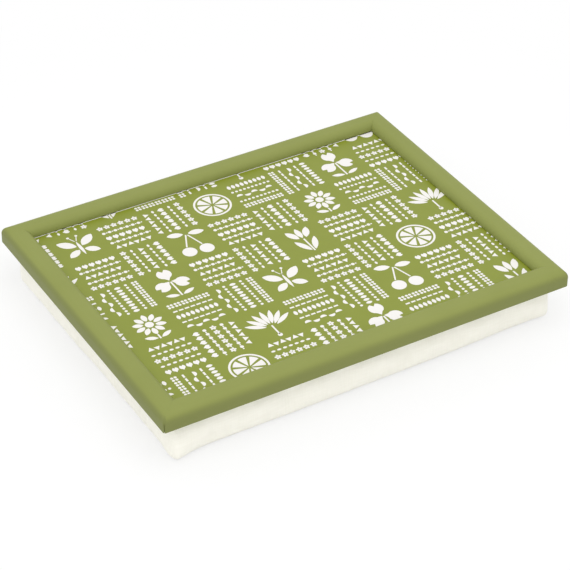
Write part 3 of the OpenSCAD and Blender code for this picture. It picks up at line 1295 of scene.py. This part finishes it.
def puckered(tree, normal, attribute):
    """Adds the dip and the puckers of one seam to a surface's normal."""
    away = add(tree, "Attribute", {"attribute_name": attribute})
    size = add(tree, "Math", {"operation": "ABSOLUTE"}, i0=away.outputs["Fac"]).outputs[0]
    dip = add(tree, "MapRange", SMOOTHLY, Value=size, From_Max=SEAM_DIP_MM)
    near = add(tree, "MapRange", SMOOTHLY, Value=size, From_Max=PUCKERS_MM, To_Min=1.0, To_Max=0.0)
    place = add(tree, "TexCoord").outputs["Object"]
    gather = add(tree, "TexNoise", Vector=place, Scale=GATHERS_PER_M, Detail=0.0)
    pucker = add(tree, "Math", TIMES, i0=near.outputs["Result"], i1=gather.outputs["Fac"])
    height = add(tree, "Math", PLUS, i0=dip.outputs["Result"], i1=pucker.outputs[0])
    bump = add(tree, "Bump", Height=height.outputs[0], Strength=0.6, Distance=SEAM_DEPTH)
    feed(tree, bump, Normal=normal)
    return bump.outputs["Normal"]


# %% [markdown]
# Canvas looks matt, with a faint bloom of fibre ends, which is the sheen. The
# slubs are a shade paler than the ground, and stand out of it a little more
# than the weave does. The whole cover is one piece, which stands for the three
# panels and for the beads inside them.

# %% Cotton canvas
WEAVE_SHARE = 0.12
CLOTH_DEPTH = 0.4 * MM


def cotton_canvas():
    material, tree, shader = new_material("cotton canvas, natural white")
    uv = add(tree, "UVMap", {"uv_map": "cloth"}).outputs["UV"]
    weave, slub = weave_of(tree, uv), slubs_of(tree, uv)
    tone = add(tree, "MapRange", Value=slub, From_Min=0.75, From_Max=1.3)
    colour = add(tree, "Mix", COLOURS, Factor=tone.outputs["Result"])
    feed(tree, colour, A=linear("#f5f3e8"), B=linear("#f9f7ed"))
    cloth = add(tree, "Math", TIMES_PLUS, i0=weave, i1=WEAVE_SHARE, i2=slub)
    bump = add(tree, "Bump", Height=cloth.outputs[0], Strength=0.35, Distance=CLOTH_DEPTH)
    normal = bump.outputs["Normal"]
    for attribute in ("from_top_seam", "from_low_seam"):
        normal = puckered(tree, normal, attribute)
    feed(tree, shader, Base_Color=colour.outputs["Result"], Normal=normal)
    feed(tree, shader, Roughness=0.92, Sheen_Weight=0.25, Sheen_Roughness=0.5)
    return material


dress(
    cover,
    cotton_canvas(),
    "cushion",
    "cushion_cloth",
    "cushion_top_panel",
    "cushion_side_band",
    "cushion_bottom_panel",
    "bead_fill",
)


# %% [markdown]
# The seams are lockstitched in white polyester thread, about three stitches to
# the centimetre. A row of stitches could be a pattern, but a real one catches
# the light from the side, so one stitch is a thin rod with rounded ends,
# modelled once and copied along the seam.

# %% One stitch and a run of them
STITCH_STEP = 3.4 * MM
STITCH_L = 2.5 * MM
STITCH_R = 0.28 * MM


def stitch_blank():
    bpy.ops.object.select_all(action="DESELECT")
    bpy.ops.mesh.primitive_cylinder_add(
        vertices=6, radius=STITCH_R, depth=STITCH_L, rotation=(0, math.pi / 2, 0)
    )
    piece = bpy.context.active_object
    bpy.ops.object.transform_apply()
    for end in (-1, 1):
        select(piece, "FACE", lambda face: face.normal.x * end > SQUARE_ON)
        bpy.ops.mesh.inset(thickness=STITCH_R * 0.45, depth=STITCH_R * 0.6)
    object_mode()
    return piece


def stitch_run(name, points, normals):
    """Copies the stitch along a closed line of points, each copy lying along the line."""
    places = []
    for index, (point, normal) in enumerate(zip(points, normals)):
        ahead = (points[(index + 1) % len(points)] - points[index - 1]).normalized()
        side = normal.cross(ahead).normalized()
        places.append((np.array([ahead, side, ahead.cross(side)]).T, np.array(point)))
    piece = scatter(name, stitch_blank(), places)
    smooth(piece, 50)
    return piece


# %% [markdown]
# A seam's line is a rounded rectangle, and each point of it is thrown onto the
# cover: from outside towards the cushion's spine at the top seam, and from
# below at the seam under the lower edge.

# %% Lines of the seams
CORNER_STEPS = 8
THROW = 30 * MM


def loop_round(half_l, half_w, corner, step):
    """Points at an even step round a rounded rectangle."""
    straight_x, straight_y = half_l - corner, half_w - corner
    line = []
    for index in range(4):
        x = straight_x * (1 if index in (0, 3) else -1)
        centre = Vector((x, straight_y * (1 if index < 2 else -1), 0))
        for part in range(CORNER_STEPS + 1):
            turn = index * math.pi / 2 + part / CORNER_STEPS * math.pi / 2
            line.append(centre + corner * Vector((math.cos(turn), math.sin(turn), 0)))
    line.append(line[0])
    lengths = [0.0]
    for first, second in zip(line, line[1:]):
        lengths.append(lengths[-1] + (second - first).length)
    count = round(lengths[-1] / step)
    at = np.arange(count) * lengths[-1] / count
    rows = np.array(line)
    return [Vector([np.interp(d, lengths, rows[:, axis]) for axis in range(3)]) for d in at]


def inward(point):
    """The level way from a point on the cushion's side to its spine."""
    spine = HALF_L - HALF_W
    x = math.copysign(spine, point.x) - point.x if abs(point.x) > spine else 0
    return Vector((x, -point.y, 0)).normalized()


def onto(piece, points, directions):
    """Moves points onto the surface of a piece, seen along a direction each."""
    found, normals = [], []
    for point, direction in zip(points, directions):
        hit, place, normal, _ = piece.ray_cast(point - direction * THROW, direction)
        found.append(place if hit else point)
        normals.append(normal if hit else -direction)
    return found, normals


# %% [markdown]
# The thread is twisted from two plies, which shows as a light and a darker
# shade by turns, with a dull gloss. Where a stitch would stick out below the
# floor, the whole run moves up onto it.

# %% Sew the cushion's seams
THREAD_TWIST = 0.5 * MM


def polyester_thread():
    material, tree, shader = new_material("polyester sewing thread, twisted, white")
    place = add(tree, "TexCoord").outputs["Object"]
    twist = add(tree, "TexNoise", Vector=place, Scale=1 / THREAD_TWIST, Detail=1.0)
    colour = add(tree, "Mix", COLOURS, Factor=twist.outputs["Fac"])
    feed(tree, colour, A=linear("#e9e6da"), B=linear("#f8f6ee"))
    feed(tree, shader, Base_Color=colour.outputs["Result"], Roughness=0.55)
    return material


thread = polyester_thread()
outline = loop_round(HALF_L, HALF_W, COVER_CORNER_R, STITCH_STEP)
top_line = [Vector((p.x, p.y, SEAM_TOP_Z)) for p in outline]
low_line = loop_round(HALF_L - SEAM_LOW_IN, HALF_W - SEAM_LOW_IN, COVER_CORNER_R, STITCH_STEP)
for name, line, ways in (
    ("stitches_top_seam", top_line, [inward(p) for p in outline]),
    ("stitches_low_seam", low_line, [Vector((0, 0, 1))] * len(low_line)),
):
    run = stitch_run(name, *onto(cover, line, ways))
    lowest = min(v.co.z for v in run.data.vertices)
    if lowest < 0:
        for vertex in run.data.vertices:
            vertex.co.z -= lowest
    dress(run, thread, "cushion", "cushion_cloth")

# %% [markdown]
# Hook and loop tape holds the cushion. Both halves are woven nylon tape, 25 mm
# wide with firm edges. The hook half is glued under the board and carries rows
# of stiff monofilament hooks, and the loop half is sewn to the cushion and
# carries a pile of small arches. Its band is a block with rounded corners.

# %% Woven band
TAPE_BASE_T = 0.6 * MM
TAPE_EDGE_W = 1.8 * MM
TAPE_CORNER_R = 2 * MM
TAPE_ROUND = 0.2 * MM


def tape_base(name, low, high):
    piece = block(name, low, high)
    bevel_edges(piece, TAPE_CORNER_R, 4, upright)
    faces = (low[2], high[2])
    bevel_edges(piece, TAPE_ROUND, 2, lambda edge: any(level_at(edge, z) for z in faces))
    return piece


# %% [markdown]
# A hook and an arch are the same kind of thing, a rod along a bent path. A curve
# with a thickness would do, but it gives many faces, so a small square is
# extruded along the path and turned at each bend. Paths are in millimetres.

# %% Hooks and arches
HOOK_PATH = [(0, 0), (0, -0.62), (-0.1, -0.78), (-0.3, -0.84), (-0.5, -0.74), (-0.56, -0.55)]
LOOP_PATH = [
    (-0.75, 0),
    (-0.68, 0.55),
    (-0.42, 0.92),
    (0, 1.06),
    (0.42, 0.92),
    (0.68, 0.55),
    (0.75, 0),
]
HOOK_R = 0.2 * MM
LOOP_R = 0.85 * HOOK_R


def bent_rod(name, path, radius):
    """A thin rod along a bent path in the XZ plane: a small square, extruded along it."""
    path = [(x * MM, z * MM) for x, z in path]
    bpy.ops.object.select_all(action="DESELECT")
    bpy.ops.mesh.primitive_plane_add(size=2 * radius, location=(path[0][0], 0, path[0][1]))
    piece = bpy.context.active_object
    piece.name = name
    bpy.ops.object.transform_apply()
    bpy.ops.object.mode_set(mode="EDIT")
    bpy.ops.mesh.select_all(action="SELECT")
    heading = math.copysign(math.pi / 2, path[1][1] - path[0][1])
    for (x0, z0), (x1, z1) in zip(path, path[1:]):
        new_heading = math.atan2(z1 - z0, x1 - x0)
        bend = new_heading - heading
        bpy.ops.mesh.extrude_region_move(
            TRANSFORM_OT_translate={"value": (x1 - x0, 0, z1 - z0)}
        )
        bpy.ops.transform.rotate(
            value=bend, orient_axis="Y", orient_type="GLOBAL", center_override=(x1, 0, z1)
        )
        heading = new_heading
    bpy.ops.mesh.select_all(action="SELECT")
    bpy.ops.mesh.normals_make_consistent(inside=False)
    object_mode()
    return piece


# %% [markdown]
# They stand in rows inside the tape's firm edges, every other row turned and
# set off by half a step, and each a little astray. Real hooks are about a
# millimetre apart: they are drawn at twice that, so that each can be a few
# dozen faces.

# %% Places on a tape
STEPS = {"hook": 2.1 * MM, "loop": 2.3 * MM}
STRAY_MM, STRAY_TURN = 0.2, 0.25
ENDS_IN = (2.4 * MM, 2.0 * MM, 1.6 * MM)
ROWS_IN = (0.9 * MM, 0.4 * MM)


def places_on(low, high, step, z, seed):
    """A slightly disturbed grid inside a tape's firm edges, as turns and points."""
    chance = np.random.default_rng(seed)
    xs = np.arange(low.x + ENDS_IN[0], high.x - ENDS_IN[1], step)
    ys = np.arange(low.y + TAPE_EDGE_W + ROWS_IN[0], high.y - TAPE_EDGE_W - ROWS_IN[1], step)
    places = []
    for row, y in enumerate(ys):
        for x in xs:
            dx, dy = chance.uniform(-STRAY_MM, STRAY_MM, 2) * MM
            point = np.array((x + dx + (row % 2) * step / 2, y + dy, z))
            turn = chance.uniform(-STRAY_TURN, STRAY_TURN) + math.pi * (row % 2)
            c, s = math.cos(turn), math.sin(turn)
            places.append((np.array(((c, -s, 0), (s, c, 0), (0, 0, 1))), point))
    return [place for place in places if place[1][0] < high.x - ENDS_IN[2]]


# %% [markdown]
# Woven nylon shows fine ribs across the tape and single fibres. The hooks are
# bare filament with a dull gloss, and the arches are brushed, so they look
# matt. A wave texture at scale 1 has about three bands to the metre.

# %% Nylon
RIB_STEP = 1.2 * MM
FIBRE_STEP = 0.8 * MM
BANDS_AT_1 = 3.14
NYLON_DEPTH = 0.25 * MM


def nylon(name, tint, dark_tint, gloss):
    material, tree, shader = new_material(name)
    place = add(tree, "TexCoord").outputs["Object"]
    bands = {"wave_type": "BANDS", "bands_direction": "X"}
    rib = add(tree, "TexWave", bands, Vector=place, Scale=1 / RIB_STEP / BANDS_AT_1, Distortion=0.6)
    fibre = add(tree, "TexNoise", Vector=place, Scale=1 / FIBRE_STEP, Detail=2.0)
    mixed = add(tree, "Math", TIMES_PLUS, i0=rib.outputs["Fac"], i1=0.5, i2=fibre.outputs["Fac"])
    colour = add(tree, "Mix", COLOURS, Factor=mixed.outputs[0])
    feed(tree, colour, A=linear(dark_tint), B=linear(tint))
    bump = add(tree, "Bump", Height=mixed.outputs[0], Strength=0.4, Distance=NYLON_DEPTH)
    feed(tree, shader, Base_Color=colour.outputs["Result"], Normal=bump.outputs["Normal"])
    feed(tree, shader, Roughness=gloss, IOR=1.53)
    return material


NYLONS = {
    "hook": nylon("nylon hook tape, woven with moulded hooks, white", "#ece9df", "#d9d5c8", 0.45),
    "loop": nylon("nylon loop tape, brushed pile, white", "#fdfcf7", "#f4f2ea", 0.85),
}

# %% [markdown]
# Four pairs of strips lie under the corners of the board. The hooks hang from a
# band against the board, and the arches stand on a band against the cushion.
# Their roots are sunk in the band by a hair, so that no gap shows. Each strip
# strays by a seed of its own, so that no two are alike and a rerun is the same.

# %% Four pairs of strips
SPOTS = ("front_left", "front_right", "back_left", "back_right")
FIRST_SEED = {"hook": 11, "loop": 31}
ROOT_SUNK = 0.02 * MM


def strip(kind, spot, path, radius):
    """One half of a pair of strips, band and pile in one piece."""
    low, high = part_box(f"{kind}_strip_{spot}")
    if kind == "hook":
        base_low, base_high = Vector((low.x, low.y, high.z - TAPE_BASE_T)), high
        root = high.z - TAPE_BASE_T + ROOT_SUNK
    else:
        base_low, base_high = low, Vector((high.x, high.y, low.z + TAPE_BASE_T))
        root = low.z + TAPE_BASE_T - ROOT_SUNK
    base = tape_base(f"{kind}_tape_{spot}", base_low, base_high)
    seed = FIRST_SEED[kind] + SPOTS.index(spot)
    places = places_on(low, high, STEPS[kind], root, seed)
    pile = scatter(kind + "s", bent_rod(kind, path, radius), places)
    piece = together(base.name, [base, pile])
    smooth(piece, 50)
    return piece


for spot in SPOTS:
    piece = strip("hook", spot, HOOK_PATH, HOOK_R)
    dress(piece, NYLONS["hook"], "tray", "hook_tape", "hook_strip_" + spot)
    piece = strip("loop", spot, LOOP_PATH, LOOP_R)
    dress(piece, NYLONS["loop"], "cushion", "loop_tape", "loop_strip_" + spot)

# %% [markdown]
# A box of stitches holds each loop tape on the canvas, 1.5 mm in from its edge.
# The band is flat there, so the line isn't thrown onto it, only raised.

# %% Stitches of the loop tapes
TAPE_SEAM_IN = 1.5 * MM
STITCH_LIFT = 0.1 * MM

for spot in SPOTS:
    low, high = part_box("loop_strip_" + spot)
    middle, size = (low + high) / 2, high - low
    line = loop_round(
        size.x / 2 - TAPE_SEAM_IN, size.y / 2 - TAPE_SEAM_IN, TAPE_SEAM_IN, STITCH_STEP
    )
    up = Vector((middle.x, middle.y, low.z + TAPE_BASE_T + STITCH_LIFT))
    run = stitch_run(
        "stitches_loop_tape_" + spot, [p + up for p in line], [Vector((0, 0, 1))] * len(line)
    )
    dress(run, thread, "cushion", "loop_tape")

# %% [markdown]
# What is left of the tray keeps its CAD shape and gets its finish here. The
# core is medium density fibreboard, sawn, a warm brown with a fine mottle of
# fibres, which are pressed flat and so look shorter at the board's edge. The
# balancing laminate under it is plain cream melamine.

# %% Fibreboard
MDF_FIBRE = 0.9 * MM
MDF_DEPTH = 0.1 * MM
MDF_CLOUDS_PER_M = 70


def fibreboard():
    material, tree, shader = new_material("medium density fibreboard, sawn")
    place = add(tree, "TexCoord").outputs["Object"]
    pressed = add(tree, "Mapping", Vector=place, Scale=(1, 1, 4)).outputs[0]
    fibre = add(tree, "TexNoise", Vector=pressed, Scale=1 / MDF_FIBRE, Detail=4.0).outputs["Fac"]
    cloud = add(tree, "TexNoise", Vector=place, Scale=MDF_CLOUDS_PER_M, Detail=2.0)
    mixed = add(tree, "Math", TIMES_PLUS, i0=fibre, i1=0.7, i2=cloud.outputs["Fac"])
    colour = add(tree, "Mix", COLOURS, Factor=mixed.outputs[0])
    feed(tree, colour, A=linear("#8c6c48"), B=linear("#b49570"))
    bump = add(tree, "Bump", Height=fibre, Strength=0.4, Distance=MDF_DEPTH)
    feed(tree, shader, Base_Color=colour.outputs["Result"], Normal=bump.outputs["Normal"])
    feed(tree, shader, Roughness=0.85)
    return material


finish_node("tray_board", fibreboard())
finish_node(
    "backing_laminate", melamine("melamine laminate, plain cream", "#ddd8c4", "#e5e0ce")
)

# %% [markdown]
# The framer points and V nails are zinc-plated spring steel, stamped from
# strip, bright with a faint grain along the rolling direction. A plain metal
# would look like chrome, and the grain is what makes it rolled strip.

# %% Plated steel
STEEL_GRAIN = 0.8 * MM
STEEL_DEPTH = 0.05 * MM


def plated_steel():
    material, tree, shader = new_material("spring steel, zinc plated and stamped")
    place = add(tree, "TexCoord").outputs["Object"]
    rolled = add(tree, "Mapping", Vector=place, Scale=(1, 1, 8)).outputs[0]
    grain = add(tree, "TexNoise", Vector=rolled, Scale=1 / STEEL_GRAIN, Detail=3.0).outputs["Fac"]
    colour = add(tree, "Mix", COLOURS, Factor=grain)
    feed(tree, colour, A=linear("#a9abac"), B=linear("#c6c8c9"))
    bump = add(tree, "Bump", Height=grain, Strength=0.2, Distance=STEEL_DEPTH)
    feed(tree, shader, Base_Color=colour.outputs["Result"], Normal=bump.outputs["Normal"])
    feed(tree, shader, Metallic=1.0, Roughness=0.34)
    return material


steel = plated_steel()
finish_node("corner_v_nails", steel)
finish_node("framer_points", steel)
